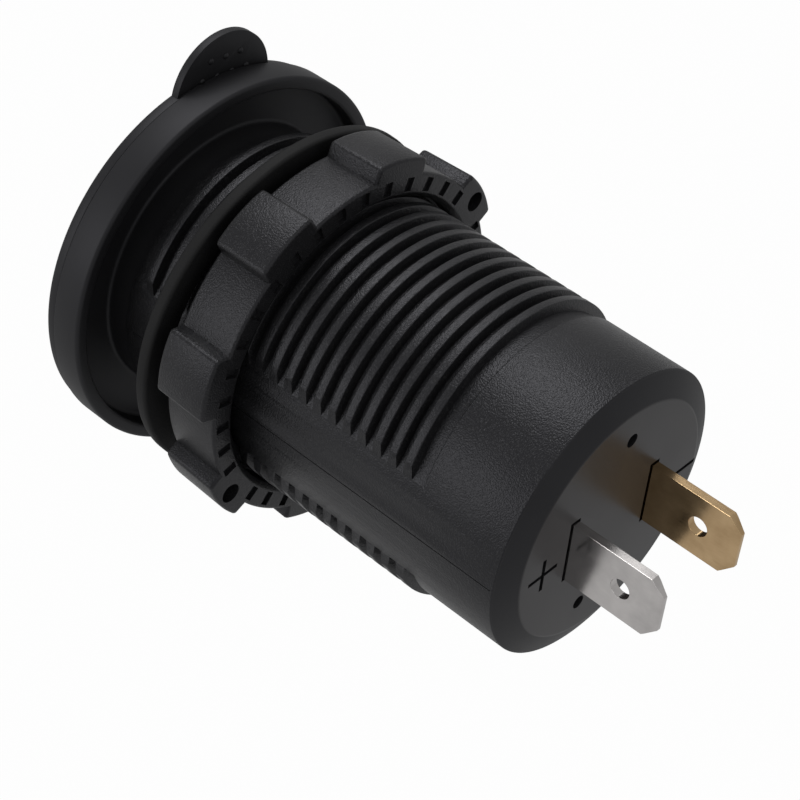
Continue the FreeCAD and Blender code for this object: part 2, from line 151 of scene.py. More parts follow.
# %% Draw and spin
TURN_STEPS = 256
ROUND_SEGMENTS = 4


def draw_section(name, corners, closed):
    """Draw (radius, y, rounding) corners as a line of edges in the plane of X and Y; stays in edit mode."""
    deselect_all()
    bpy.ops.mesh.primitive_plane_add(size=MM, location=place(corners[0][0], corners[0][1], 0))
    piece = bpy.context.object
    piece.name = name
    bpy.ops.object.transform_apply(location=True)
    edit(piece)
    bpy.ops.mesh.merge(type="CENTER")
    route = corners + corners[:1] if closed else corners
    for start, end in zip(route, route[1:]):
        step = place(end[0] - start[0], end[1] - start[1], 0)
        bpy.ops.mesh.extrude_region_move(TRANSFORM_OT_translate={"value": step})
    bpy.ops.mesh.select_all(action="SELECT")
    bpy.ops.mesh.remove_doubles(threshold=MERGE_REACH * MM)
    for radius, y, rounding in corners:
        if rounding:
            pick("VERT", lambda spot: near(spot.x, radius) and near(spot.y, y))
            bpy.ops.mesh.bevel(
                offset=rounding * MM, segments=ROUND_SEGMENTS, affect="VERTICES", offset_type="OFFSET"
            )
    bpy.ops.mesh.select_all(action="SELECT")
    return piece


def turned(name, corners, closed=True):
    draw_section(name, corners, closed)
    bpy.ops.mesh.spin(steps=TURN_STEPS, angle=math.tau, center=(0, 0, 0), axis=(0, 1, 0))
    close_up()
    return leave_edit()


# %% [markdown]
# ## Joining, cutting and copying
# A moulding is one piece, but it is easier to model as several simple forms. A Boolean modifier joins them or
# cuts one with another, and it is applied at once, so that the finished mesh is a single closed skin. What
# repeats is modelled once, and each copy gets a mesh of its own, moved and turned in edit mode so that its
# object stays at the origin.

# %% Modifiers and copies
def modify(piece, kind, **settings):
    """Add one modifier with its settings and apply it."""
    take(piece)
    bpy.ops.object.modifier_add(type=kind)
    modifier = piece.modifiers[-1]
    for key, value in settings.items():
        setattr(modifier, key, value)
    bpy.ops.object.modifier_apply(modifier=modifier.name)
    return piece


def boolean(piece, tool, operation):
    modify(piece, "BOOLEAN", operation=operation, solver="MANIFOLD", object=tool)
    bpy.data.objects.remove(tool)


def soften(piece, width, segments=3, above=35):
    """Round every edge that is sharper than an angle."""
    return modify(
        piece, "BEVEL", width=width * MM, segments=segments, limit_method="ANGLE",
        angle_limit=math.radians(above), use_clamp_overlap=True,
    )


def join(pieces):
    take(*pieces)
    bpy.ops.object.join()
    return bpy.context.object


def swing(degrees):
    """In edit mode, turn what is selected about the socket's axis, from +X towards +Z."""
    bpy.ops.transform.rotate(value=math.radians(degrees), orient_axis="Y", center_override=(0, 0, 0))


def copies(piece, turns, moves=None):
    """Copies of a piece, each moved and then turned by its angle; the first piece is removed."""
    made = []
    for number, angle in enumerate(turns):
        take(piece)
        bpy.ops.object.duplicate(linked=False)
        edit(bpy.context.object)
        if moves:
            bpy.ops.transform.translate(value=place(*moves[number]))
        if angle:
            swing(angle)
        made.append(leave_edit())
    bpy.data.objects.remove(piece)
    return made


# %% [markdown]
# ## Boxes and rods
# Slots, ears and holes are plain forms, so each is cut or added by a cube or a cylinder of the right size.
# Its place, turn and size are put into its mesh at once, so that every tool is measured in the same frame. A
# cutter stands out of the face that it cuts, because a Boolean is unsure about two faces in one plane.

# %% Boxes and rods as tools
OVERSHOOT = 1.0


def settle(name):
    """Name a new primitive and put its place and size into its mesh."""
    piece = bpy.context.object
    piece.name = name
    bpy.ops.object.transform_apply(location=True, rotation=True, scale=True)
    return piece


def block(name, x, y, z):
    """Box between two values on each axis."""
    deselect_all()
    middle = place(*(sum(pair) / 2 for pair in (x, y, z)))
    bpy.ops.mesh.primitive_cube_add(size=1, location=middle)
    bpy.context.object.scale = place(*(pair[1] - pair[0] for pair in (x, y, z)))
    return settle(name)


def rod(name, radius, start, length, along, vertices=64):
    """Round bar from a start point along X or Y."""
    deselect_all()
    turn = (0, math.pi / 2, 0) if along == "X" else (math.pi / 2, 0, 0)
    shift = (length / 2, 0, 0) if along == "X" else (0, length / 2, 0)
    middle = place(*(spot + move for spot, move in zip(start, shift)))
    bpy.ops.mesh.primitive_cylinder_add(
        vertices=vertices, radius=radius * MM, depth=length * MM, location=middle, rotation=turn
    )
    return settle(name)


# %% [markdown]
# ## Shader arithmetic
# Finishes are built from nodes. A small class wraps a node's output, so that a mask or a height can be
# written as a plain sum, and one method makes every other node: its settings go in first, then the values or
# links of its inputs.

# %% Field and Nodes
class Field:
    """A value that changes over a surface."""

    def __init__(self, nodes, socket):
        self.nodes = nodes
        self.socket = socket

    def _math(self, operation, first, second):
        return self.nodes.node("ShaderNodeMath", {"operation": operation}, {0: first, 1: second})

    def __add__(self, other):
        return self._math("ADD", self, other)

    def __radd__(self, other):
        return self._math("ADD", other, self)

    def __sub__(self, other):
        return self._math("SUBTRACT", self, other)

    def __rsub__(self, other):
        return self._math("SUBTRACT", other, self)

    def __mul__(self, other):
        return self._math("MULTIPLY", self, other)

    def __rmul__(self, other):
        return self._math("MULTIPLY", other, self)


class Nodes:
    """A node tree with one output."""

    def __init__(self, tree, output):
        self.tree = tree
        self.tree.nodes.clear()
        self.output = self.tree.nodes.new(output)

    def node(self, kind, settings=None, sockets=None, output=0):
        made = self.tree.nodes.new(kind)
        for key, value in (settings or {}).items():
            if key == "stops":
                for element, (position, colour) in zip(made.color_ramp.elements, value):
                    element.position = position
                    element.color = colour
            else:
                setattr(made, key, value)
        for key, value in (sockets or {}).items():
            if isinstance(value, Field):
                self.tree.links.new(value.socket, made.inputs[key])
            else:
                made.inputs[key].default_value = value
        return Field(self, made.outputs[output])

    def show(self, surface):
        self.tree.links.new(surface.socket, self.output.inputs["Surface"])


# %% [markdown]
# ## Finishes
# A finish is one material. Its shader takes the numbers that are the same all over, and its fields feed what
# changes. Every pattern is laid out on the piece's own coordinates, in millimetres, so its scale is real.

# %% Finish
PER_METRE = 1000.0


class Finish(Nodes):
    """One material: a Principled shader and the nodes that feed it."""

    def __init__(self, name, **constants):
        self.material = bpy.data.materials.new(name)
        self.material.use_nodes = True
        super().__init__(self.material.node_tree, "ShaderNodeOutputMaterial")
        sockets = {socket.replace("_", " "): value for socket, value in constants.items()}
        self.surface = self.node("ShaderNodeBsdfPrincipled", {}, sockets)
        self.show(self.surface)

    def spot(self):
        """The place on the piece, in millimetres."""
        in_metres = self.node("ShaderNodeTexCoord", output="Object")
        return self.node("ShaderNodeVectorMath", {"operation": "SCALE"}, {0: in_metres, "Scale": PER_METRE})

    def along(self, spot, axis):
        return self.node("ShaderNodeSeparateXYZ", sockets={0: spot}, output=axis)

    def noise(self, spot, per_mm, detail=2.0, roughness=0.5, stretch=None):
        if stretch:
            spot = self.node("ShaderNodeMapping", {}, {"Vector": spot, "Scale": stretch})
        sockets = {"Vector": spot, "Scale": per_mm, "Detail": detail, "Roughness": roughness}
        return self.node("ShaderNodeTexNoise", {}, sockets)

    def ramp(self, value, *stops):
        return self.node("ShaderNodeValToRGB", {"stops": stops}, {0: value})

    def between(self, value, low, high):
        """0 below low, 1 above high, smooth between."""
        sockets = {0: value, 1: low, 2: high, 3: 0.0, 4: 1.0}
        return self.node("ShaderNodeMapRange", {"interpolation_type": "SMOOTHSTEP"}, sockets)

    def blend(self, mask, first, second):
        return self.node("ShaderNodeMix", {"data_type": "RGBA"}, {0: mask, 6: first, 7: second}, 2)

    def feed(self, **fields):
        for name, field in fields.items():
            self.tree.links.new(field.socket, self.surface.socket.node.inputs[name.replace("_", " ")])

    def bump(self, height, depth_mm, strength=1.0):
        sockets = {"Height": height, "Distance": depth_mm * MM, "Strength": strength}
        self.feed(Normal=self.node("ShaderNodeBump", {}, sockets))


# %% [markdown]
# ## Dressing a piece
# A new piece is shaded smooth only across shallow angles, so that its real edges stay crisp, and gets one
# material. Then it is hung on the empty of the body it rides on, and the solid that it stands for is hidden.

# %% Putting a finish on a piece
SMOOTH_BELOW = 32


def grey(value):
    return (value, value, value, 1.0)


def put_on(piece, finish):
    """Give a whole piece one finish."""
    if piece.material_slots:
        for slot in piece.material_slots:
            slot.material = finish.material
    else:
        piece.data.materials.append(finish.material)


def dress(piece, finish, body, node, smooth=SMOOTH_BELOW):
    """Smooth a new piece, give it its finish, hang it on its body and hide the solid that it stands for."""
    take(piece)
    bpy.ops.object.shade_smooth_by_angle(angle=math.radians(smooth))
    piece.data.materials.clear()
    put_on(piece, finish)
    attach(piece, body)
    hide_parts(node)
    triangles = sum(len(face.vertices) - 2 for face in piece.data.polygons)
    print(piece.name, "on", body, "with", triangles, "triangles")


# %% [markdown]
# ## Black moulded plastic
# The barrel and the nut are moulded in a tool whose walls were left with the fine grain of spark erosion.
# Under a soft light that grain glitters: many tiny facets, each catching the light a little differently. Fine
# noise drives a bump for the facets and a spread of roughness for the glitter, and its brightest specks are
# painted paler into the colour as painted glints. The flange, the chamfer and the rear face were polished in
# the tool, so the grain fades out there, and the rear face has the most gloss. Its colour is also painted a
# paler, slightly warm grey, a painted reflection of the bright room.

# %% Moulded black
COOL_SHEEN = (0.93, 0.93, 1.0, 1.0)
DEEP_BLACK = (0.0098, 0.0098, 0.0108, 1.0)
SOFT_BLACK = (0.0145, 0.0145, 0.0155, 1.0)
# Painted reflection: a paler, slightly warm grey for the rear face, standing in for the bright room that it
# reflects.
PAINTED_REAR_SHEEN = (0.034, 0.032, 0.032, 1.0)
GRAIN_PER_MM = 7.0
GRAIN_DEPTH = 0.062
POLISHED_GRAIN = 0.03
BARREL_FADE = (0.2, 1.2)
CHAMFER_FADE = (43.9, 44.1)
REAR_FACE_FADE = (44.93, 44.99)
moulded_black = Finish("moulded_black", Specular_IOR_Level=0.36, Specular_Tint=COOL_SHEEN)
spot = moulded_black.spot()
depth_along = moulded_black.along(spot, "Y")
on_barrel = moulded_black.between(depth_along, *BARREL_FADE)
on_chamfer = moulded_black.between(depth_along, *CHAMFER_FADE)
on_rear_face = moulded_black.between(depth_along, *REAR_FACE_FADE)
grained = on_barrel * (1.0 - on_chamfer * 0.9)
fine_grain = moulded_black.noise(spot, GRAIN_PER_MM, detail=1.0)
coarse_grain = moulded_black.noise(spot, 2.6, detail=2.0)
cloud = moulded_black.noise(spot, 0.16, detail=2.0)
dark = moulded_black.ramp(cloud, (0.3, DEEP_BLACK), (0.75, SOFT_BLACK))
# Painted reflection: the rear face is painted a paler grey.
dark = moulded_black.blend(on_rear_face * 0.8, dark, PAINTED_REAR_SHEEN)
# Painted glints: the brightest specks of the fine grain are painted paler into the colour.
painted_glint = moulded_black.between(fine_grain, 0.56, 0.72) * grained
moulded_black.feed(
    Base_Color=moulded_black.blend(painted_glint * 0.35, dark, grey(0.06)),
    Roughness=0.46 + cloud * 0.08 - grained * (0.22 - fine_grain * 0.1) - on_rear_face * 0.17,
)
facets = fine_grain * 0.8 + coarse_grain * 0.2
moulded_black.bump(facets * (POLISHED_GRAIN + grained * (1.0 - POLISHED_GRAIN)), GRAIN_DEPTH)
print("moulded_black nodes", len(moulded_black.tree.nodes))

# %% [markdown]
# ## Soft black of the cap and washer
# The cap and the washer are softer and smoother than the barrel. The cap is an elastomer with a satin skin
# and faint flow marks. The washer is plain rubber, duller and a little rough.

# %% Cap and washer rubber
SATIN_BLACK = (0.0092, 0.0092, 0.01, 1.0)
RUBBER_BLACK = (0.0085, 0.0085, 0.009, 1.0)
RUBBER_GREY = (0.0125, 0.0125, 0.013, 1.0)
cap_rubber = Finish("cap_rubber", Specular_IOR_Level=0.36, Specular_Tint=COOL_SHEEN)
spot = cap_rubber.spot()
flow = cap_rubber.noise(spot, 0.22, detail=3.0)
skin = cap_rubber.noise(spot, 9.0, detail=2.0)
cap_rubber.feed(
    Base_Color=cap_rubber.ramp(flow, (0.3, SATIN_BLACK), (0.72, SOFT_BLACK)),
    Roughness=0.4 + flow * 0.12 + skin * 0.06,
)
cap_rubber.bump(skin * 0.6 + flow * 0.4, 0.012, 0.6)

washer_rubber = Finish("washer_rubber", Specular_IOR_Level=0.25)
spot = washer_rubber.spot()
flow = washer_rubber.noise(spot, 0.3, detail=3.0)
skin = washer_rubber.noise(spot, 6.0, detail=2.0)
washer_rubber.feed(
    Base_Color=washer_rubber.ramp(flow, (0.3, RUBBER_BLACK), (0.72, RUBBER_GREY)),
    Roughness=0.55 + flow * 0.1 + skin * 0.1,
)
washer_rubber.bump(skin, 0.03, 0.7)
print("cap and washer nodes", len(cap_rubber.tree.nodes) + len(washer_rubber.tree.nodes))

# %% [markdown]
# ## Blade metals
# Both blades are stamped from strip. One is brass with a bright tin plating, the other is bare brass. Both
# are nearly mirrors: near the root they show the dark rear face, and towards the tip the pale room. Rolling
# leaves fine lines along the strip, which stretch the highlights, and handling leaves faint cloudy tarnish.

# %% Rolled metals
ROLLING_LINES = (14.0, 0.5, 14.0)


def rolled_strip(name, pale, dull, roughness):
    finish = Finish(name, Metallic=1.0)
    spot = finish.spot()
    lines = finish.noise(spot, 1.0, detail=3.0, stretch=ROLLING_LINES)
    tarnish = finish.noise(spot, 0.45, detail=3.0)
    finish.feed(
        Base_Color=finish.ramp(tarnish * 0.75 + lines * 0.25, (0.35, dull), (0.62, pale)),
        Roughness=roughness + lines * 0.1 + tarnish * 0.08,
    )
    finish.bump(lines, 0.006, 0.25)
    return finish


tinned_blade = rolled_strip("tinned_blade", (0.76, 0.73, 0.715, 1.0), (0.63, 0.605, 0.595, 1.0), 0.1)
brass_blade = rolled_strip("brass_blade", (0.74, 0.52, 0.29, 1.0), (0.56, 0.38, 0.2, 1.0), 0.06)
plated_steel = rolled_strip("plated_steel", (0.7, 0.7, 0.71, 1.0), (0.56, 0.56, 0.575, 1.0), 0.24)
contact_gold = rolled_strip("contact_gold", (0.88, 0.68, 0.3, 1.0), (0.76, 0.55, 0.22, 1.0), 0.22)
can_aluminium = rolled_strip("can_aluminium", (0.8, 0.8, 0.81, 1.0), (0.68, 0.68, 0.7, 1.0), 0.3)
print("five rolled metals")

# %% [markdown]
# ## Finishes inside
# Behind the cap are the face with its two USB sockets and, deeper, the charger board. They are seen only when
# the cap is open, but they are there, so each has the finish of the real thing: grained face plastic, white
# insulator, clear light pipe, ferrite and chip packages.

# %% Inner mouldings
def moulded(name, low, high, roughness, grain_per_mm, depth_mm, **constants):
    finish = Finish(name, **constants)
    spot = finish.spot()
    grain = finish.noise(spot, grain_per_mm, detail=2.0)
    cloud = finish.noise(spot, 0.3, detail=2.0)
    finish.feed(
        Base_Color=finish.ramp(cloud * 0.7 + grain * 0.3, (0.32, low), (0.68, high)),
        Roughness=roughness + cloud * 0.1 + grain * 0.08,
    )
    finish.bump(grain, depth_mm, 0.7)
    return finish


PIPE_LOW, PIPE_HIGH = (0.75, 0.82, 0.9, 1.0), (0.82, 0.88, 0.95, 1.0)
face_black = moulded("face_black", grey(0.013), grey(0.022), 0.42, 6.0, 0.03)
insulator_white = moulded("insulator_white", grey(0.66), grey(0.74), 0.38, 5.0, 0.01)
clear_plastic = moulded("clear_plastic", PIPE_LOW, PIPE_HIGH, 0.12, 3.0, 0.004, Transmission_Weight=0.75)
led_body = moulded("led_body", (0.72, 0.7, 0.6, 1.0), (0.8, 0.78, 0.68, 1.0), 0.35, 5.0, 0.01)
ferrite = moulded("ferrite", grey(0.035), grey(0.06), 0.6, 3.0, 0.05)
chip_black = moulded("chip_black", grey(0.016), grey(0.026), 0.5, 8.0, 0.02)
print("six inner mouldings")

# %% [markdown]
# The board is green solder mask over copper. Where a track runs below, the mask stands a little higher and
# looks paler. A distorted wave gives the run of the tracks.

# %% Board
MASK_DARK = (0.008, 0.075, 0.03, 1.0)
MASK_OVER_COPPER = (0.014, 0.13, 0.05, 1.0)
board_green = Finish("board_green")
spot = board_green.spot()
track_sockets = {"Vector": spot, "Scale": 0.42, "Distortion": 6.0, "Detail": 1.0}
track = board_green.node("ShaderNodeTexWave", {"wave_type": "BANDS"}, track_sockets, 1)
copper = board_green.between(track, 0.55, 0.7)
weave = board_green.noise(spot, 3.0, detail=2.0)
board_green.feed(
    Base_Color=board_green.blend(copper, MASK_DARK, MASK_OVER_COPPER),
    Roughness=0.3 + weave * 0.15,
)
board_green.bump(copper * 0.7 + weave * 0.3, 0.02, 0.6)
print("board_green nodes", len(board_green.tree.nodes))

# %% [markdown]
# ## The barrel's turned body
# The barrel is measured from the plane in which the flange seats on a panel, with Y along its axis and the
# terminals at +Y. One line goes from the bore over the mouth, round the hollow flange, along the root of the
# thread and over the chamfered rear to the axis. The corners that a finger would feel are rounded.

# %% Turned body
ROOT_RADIUS = 13.35
THREAD_END = 35.2
REAR_RADIUS = 13.7
REAR_FACE = 45.0
REAR_INNER = 42.8
CAVITY_RADIUS = 11.4
MOUTH_RADIUS = 12.0
MOUTH_DEPTH = 1.5
FLANGE_RADIUS = 18.7
FLANGE_FRONT = -3.1
SKIRT_RADIUS = 17.4
WEB_REAR = -2.0
CHAMFER_RADIUS = 11.35
CHAMFER_START = 44.0
barrel = turned("threaded_barrel", [
    (0, REAR_INNER, 0),
    (CAVITY_RADIUS, REAR_INNER, 0),
    (CAVITY_RADIUS, MOUTH_DEPTH, 0),
    (MOUTH_RADIUS, MOUTH_DEPTH, 0),
    (MOUTH_RADIUS, FLANGE_FRONT, 0.15),
    (FLANGE_RADIUS, FLANGE_FRONT, 0.12),
    (FLANGE_RADIUS, 0, 0.35),
    (SKIRT_RADIUS, 0, 0.35),
    (SKIRT_RADIUS, WEB_REAR, 0.4),
    (ROOT_RADIUS, WEB_REAR, 0.4),
    (ROOT_RADIUS, THREAD_END, 0.05),
    (REAR_RADIUS, THREAD_END, 0.12),
    (REAR_RADIUS, CHAMFER_START, 0.1),
    (CHAMFER_RADIUS, REAR_FACE, 0.1),
    (0, REAR_FACE, 0),
], closed=False)
print(barrel.name, len(barrel.data.polygons), "faces")

# %% [markdown]
# ## Thread ridges
# The coarse thread is a flat-topped ridge that climbs 1.7 mm a turn. It stops short of two plain strips,
# where the halves of the mould meet, and starts again on the other side. So it is modelled as one half turn:
# a closed section, swept by a Screw modifier, and cut along the strips so that its ends run out as slopes.

# %% One half turn
CREST_RADIUS = 14.25
PITCH = 1.7
RIDGE_FOOT = 1.26
RIDGE_CREST = 0.75
RIDGE_ROUND = 0.07
RIDGE_SUNK = 0.25
FIRST_RIDGE = 1.275
RIDGE_STEPS = 72
STRIP_PLANE = 12.75


def helix(name, corners, start_y, turns, steps):
    """Closed section swept about the axis, climbing one pitch a turn."""
    piece = draw_section(name, corners, closed=True)
    bpy.ops.transform.translate(value=place(0, start_y, 0))
    leave_edit()
    return modify(
        piece, "SCREW", axis="Y", angle=math.tau * turns, screw_offset=PITCH * turns * MM,
        steps=steps, render_steps=steps,
    )


foot_radius = ROOT_RADIUS - RIDGE_SUNK
ridge = helix("ridge", [
    (foot_radius, -RIDGE_FOOT / 2, 0),
    (CREST_RADIUS, -RIDGE_CREST / 2, RIDGE_ROUND),
    (CREST_RADIUS, RIDGE_CREST / 2, RIDGE_ROUND),
    (foot_radius, RIDGE_FOOT / 2, 0),
], FIRST_RIDGE, 0.5, RIDGE_STEPS)
edit(ridge)
for side in (1, -1):
    slice_at((side * STRIP_PLANE, 0, 0), (side, 0, 0))
close_up()
leave_edit()
print("half turn", len(ridge.data.polygons), "faces")

# %% [markdown]
# Copies of the half turn, each turned half way round and half a pitch higher, make the whole thread.

# %% Copies along the thread
HALF_TURNS = 39
numbers = range(HALF_TURNS)
ridges = join(copies(
    ridge, [180 * (number % 2) for number in numbers], [(0, number * PITCH / 2, 0) for number in numbers]
))
boolean(barrel, ridges, "UNION")
print(barrel.name, len(barrel.data.polygons), "faces with its thread")

# %% [markdown]
# ## Plain strips
# Along +X and -X the barrel is plain and level with its rear. Towards the thread the strip slopes down, so
# that each groove runs out in a point. A ring is cut by the two slopes and by a plane behind it, and what is
# left is joined to the barrel, once on each side.

# %% Strips
THREAD_START = 0.7
SLOPE_ANGLE = math.radians(36.4)
SLOPE_RADIUS = 13.24
STRIP_INNER = 12.2
STRIP_BACK = 10.6
STRIP_END = THREAD_END + 0.5
strip = turned("strip", [
    (STRIP_INNER, THREAD_START, 0),
    (REAR_RADIUS, THREAD_START, 0.2),
    (REAR_RADIUS, STRIP_END, 0),
    (STRIP_INNER, STRIP_END, 0),
])
slope_x, slope_z = math.cos(SLOPE_ANGLE), math.sin(SLOPE_ANGLE)
edit(strip)
slice_at((STRIP_BACK, 0, 0), (-1, 0, 0))
for side in (1, -1):
    slice_at((SLOPE_RADIUS * slope_x, 0, side * SLOPE_RADIUS * slope_z), (slope_x, 0, side * slope_z))
close_up()
leave_edit()
for strip_side in copies(strip, [0, 180]):
    boolean(barrel, strip_side, "UNION")
print(barrel.name, len(barrel.data.polygons), "faces with its strips")

# %% [markdown]
# ## Hinge ears
# Two ears below the flange hold the pin of the cap's hinge. Each is a box with a round end, and one bore goes
# through both.

# %% Ears
HINGE_Y = -1.85
HINGE_Z = -20.2
HINGE_RADIUS = 1.25
PIN_RADIUS = 0.6
PIN_FIT = 0.03
KNUCKLE_HALF = 2.4
EAR_GAP = 0.2
EAR_WIDTH = 1.9
EAR_TOP = -17.8
ear_inner = KNUCKLE_HALF + EAR_GAP
ear_outer = ear_inner + EAR_WIDTH
ear_depth = (FLANGE_FRONT, FLANGE_FRONT + 2 * HINGE_RADIUS)
for low in (-ear_outer, ear_inner):
    ear = block("ear", (low, low + EAR_WIDTH), ear_depth, (HINGE_Z, EAR_TOP))
    boolean(ear, rod("cheek", HINGE_RADIUS, (low, HINGE_Y, HINGE_Z), EAR_WIDTH, "X"), "UNION")
    soften(ear, 0.15, 2)
    boolean(barrel, ear, "UNION")
bore_start = (-2 * ear_outer, HINGE_Y, HINGE_Z)
boolean(barrel, rod("pin_bore", PIN_RADIUS + PIN_FIT, bore_start, 4 * ear_outer, "X"), "DIFFERENCE")
print(barrel.name, len(barrel.data.polygons), "faces with its ears")

# %% [markdown]
# ## Openings and marks in the rear
# The rear face has a slot round each blade, two small vents, and the polarity marks, which the tool sank into
# the face: a plus beside the bright blade and a minus beside the yellow one. Box and rod cutters make them.

# %% Rear openings
BLADE_X = 5.1
SLOT_THICK = 1.2
SLOT_HIGH = 6.7
VENT_RADIUS = 0.65
VENT_SPOTS = ((-0.9, 8.35), (2.6, -8.0))
MARK_WIDTH = 0.42
MARK_DEPTH = 0.3
MARK_Z = -0.5
PLUS_X, PLUS_ARM = 8.55, 1.78
MINUS_X, MINUS_ARM = -10.1, 1.4
through = (REAR_INNER - OVERSHOOT, REAR_FACE + OVERSHOOT)
sunk = (REAR_FACE - MARK_DEPTH, REAR_FACE + OVERSHOOT)
mark_band = across(MARK_Z, MARK_WIDTH / 2)
cutters = [
    block("slot", across(side * BLADE_X, SLOT_THICK / 2), through, across(0, SLOT_HIGH / 2))
    for side in (-1, 1)
]
cutters += [
    rod("vent", VENT_RADIUS, (x, through[0], z), through[1] - through[0], "Y") for x, z in VENT_SPOTS
]
cutters += [
    block("plus", across(PLUS_X, PLUS_ARM), sunk, mark_band),
    block("plus", across(PLUS_X, MARK_WIDTH / 2), sunk, across(MARK_Z, PLUS_ARM)),
    block("minus", across(MINUS_X, MINUS_ARM), sunk, mark_band),
]
for cutter in cutters:
    boolean(barrel, cutter, "DIFFERENCE")
print(barrel.name, len(barrel.data.polygons), "faces with its openings")

# %% [markdown]
# ## Parting line
# Where the two halves of the mould met, a hair line runs along each plain strip. It is a groove a tenth of a
# millimetre wide, cut by a thin box.

# %% Parting line
LINE_WIDTH = 0.1
LINE_DEPTH = 0.06
LINE_Z = 0.5
line_run = (THREAD_START + 1, CHAMFER_START - 0.2)
for side in (1, -1):
    line_band = across(side * LINE_Z, LINE_WIDTH / 2)
    boolean(barrel, block("line", across(side * REAR_RADIUS, LINE_DEPTH), line_run, line_band), "DIFFERENCE")
dress(barrel, moulded_black, "socket", "socket_barrel")

# %% [markdown]
# ## Dust cap
# The cap is a dished disc with a collar that plugs the mouth, a thin pull tab at the top and an arm that goes
# down to the hinge. The disc and the collar are turned.

# %% Cap disc
CAP_RADIUS = 18.46
CAP_FRONT = -4.37
CAP_REAR = -3.22
DISH_RADIUS = 14.5
DISH_FLOOR = CAP_FRONT + 0.3
CAP_RIM_INNER = 15.1
COLLAR_OUTER = 11.75
COLLAR_INNER = 10.6
COLLAR_END = CAP_REAR + 1.8
cap = turned("lid", [
    (0, DISH_FLOOR, 0),
    (DISH_RADIUS, DISH_FLOOR, 0.3),
    (CAP_RIM_INNER, CAP_FRONT, 0.3),
    (CAP_RADIUS, CAP_FRONT, 0.4),
    (CAP_RADIUS, CAP_REAR, 0.12),
    (COLLAR_OUTER, CAP_REAR, 0.1),
    (COLLAR_OUTER, COLLAR_END, 0.3),
    (COLLAR_INNER, COLLAR_END, 0.3),
    (COLLAR_INNER, CAP_REAR, 0.1),
    (0, CAP_REAR, 0),
], closed=False)
print(cap.name, len(cap.data.polygons), "faces")

# %% [markdown]
# The tab starts as a filled circle. The half that faces the disc is squeezed flat, which leaves a tongue with
# a round end; extrude gives it thickness and a bevel takes the edge off.

# %% Pull tab
TAB_END = 22.4
TAB_HALF = 5.5
TAB_THICK = 0.75
TAB_ANGLE = 95.0
TAB_ROOT = 14.6
tab_middle = TAB_END - TAB_HALF
tab_front = (CAP_FRONT + CAP_REAR - TAB_THICK) / 2
deselect_all()
bpy.ops.mesh.primitive_circle_add(
    vertices=120, radius=TAB_HALF * MM, fill_type="NGON", location=place(tab_middle, tab_front, 0),
    rotation=(math.pi / 2, 0, 0),
)
tab = settle("tab")
edit(tab)
pick("VERT", lambda spot: spot.x < tab_middle - 0.05)
bpy.ops.transform.resize(value=(0, 1, 1), center_override=place(TAB_ROOT, 0, 0))
bpy.ops.mesh.select_all(action="SELECT")
bpy.ops.mesh.extrude_region_move(TRANSFORM_OT_translate={"value": place(0, TAB_THICK, 0)})
close_up()
bpy.ops.mesh.select_all(action="SELECT")
swing(TAB_ANGLE)
leave_edit()
boolean(cap, soften(tab, 0.22, 3, above=60), "UNION")
print(cap.name, len(cap.data.polygons), "faces with its tab")

# %% [markdown]
# On the rear of the tab, where a thumb pulls, are rows of small domes. One flattened sphere is copied to
# every place.

# %% Grip domes
DOME_RADIUS = 0.3
DOME_HEIGHT = 0.16
DOME_PITCH = 1.75
DOME_FIRST = 16.6
DOME_ROWS = (5, 4, 3)
tab_rear = tab_front + TAB_THICK
deselect_all()
bpy.ops.mesh.primitive_uv_sphere_add(segments=20, ring_count=10, radius=DOME_RADIUS * MM)
dome = settle("dome")
edit(dome)
bpy.ops.transform.resize(value=(1, DOME_HEIGHT / DOME_RADIUS, 1))
leave_edit()
dome_spots = [
    (DOME_FIRST + row * DOME_PITCH, tab_rear, (number - (count - 1) / 2) * DOME_PITCH)
    for row, count in enumerate(DOME_ROWS) for number in range(count)
]
boolean(cap, join(copies(dome, [TAB_ANGLE] * len(dome_spots), dome_spots)), "UNION")
print(cap.name, "with", len(dome_spots), "domes")

# %% [markdown]
# The hinge arm hangs below the disc, turns back towards the pin and ends in a round knuckle between the ears.
# Two boxes and a rod are joined, softened and bored, with a little play round the pin.

# %% Hinge arm
ARM_SET_BACK = 0.4
ARM_LAP = 1.15
LINK_FRONT = CAP_REAR - 0.575
KNUCKLE_RADIUS = HINGE_RADIUS - 0.125
PIN_PLAY = 0.08
arm_width = across(0, KNUCKLE_HALF)
low_edge = HINGE_Z - KNUCKLE_RADIUS
knuckle = rod("knuckle", KNUCKLE_RADIUS, (-KNUCKLE_HALF, HINGE_Y, HINGE_Z), 2 * KNUCKLE_HALF, "X")
arm = block("arm", arm_width, (CAP_FRONT + ARM_SET_BACK, CAP_REAR), (low_edge, ARM_LAP - CAP_RADIUS))
boolean(arm, block("link", arm_width, (LINK_FRONT, HINGE_Y), (low_edge, HINGE_Z)), "UNION")
boolean(arm, knuckle, "UNION")
boolean(cap, soften(arm, 0.12, 2, above=50), "UNION")
bore_start = (-3 * KNUCKLE_HALF, HINGE_Y, HINGE_Z)
boolean(cap, rod("pin_bore", PIN_RADIUS + PIN_PLAY, bore_start, 6 * KNUCKLE_HALF, "X"), "DIFFERENCE")
dress(cap, cap_rubber, "cap", "dust_cap")

# %% [markdown]
# ## Sealing washer
# A plain ring with rounded edges. It is loose on the thread between the flange and the nut, so it hangs a
# little askew, its top towards the nut.

